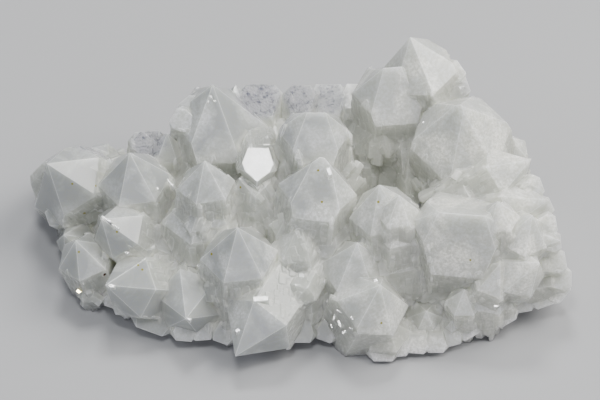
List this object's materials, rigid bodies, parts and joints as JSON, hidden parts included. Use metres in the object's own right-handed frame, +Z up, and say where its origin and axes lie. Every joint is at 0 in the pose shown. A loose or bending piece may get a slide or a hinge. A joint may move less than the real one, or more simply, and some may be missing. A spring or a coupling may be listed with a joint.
{
  "type": "quartz crystal cluster",
  "caption": "Mineral specimen: stout, blunt milky quartz crystals grown together on a broken base that is cut flat below.",
  "frame": {"origin": "on the flat underside, under the middle of the cluster", "axes": "+X along the cluster's length, to the right in the picture; +Z up, away from the flat underside"},
  "size_m": [0.1406, 0.0866, 0.052],
  "materials": {
    "milky_quartz": "satin"
  },
  "bodies": {
    "root": {"quartz_cluster": "milky_quartz"}
  },
  "joints": []
}
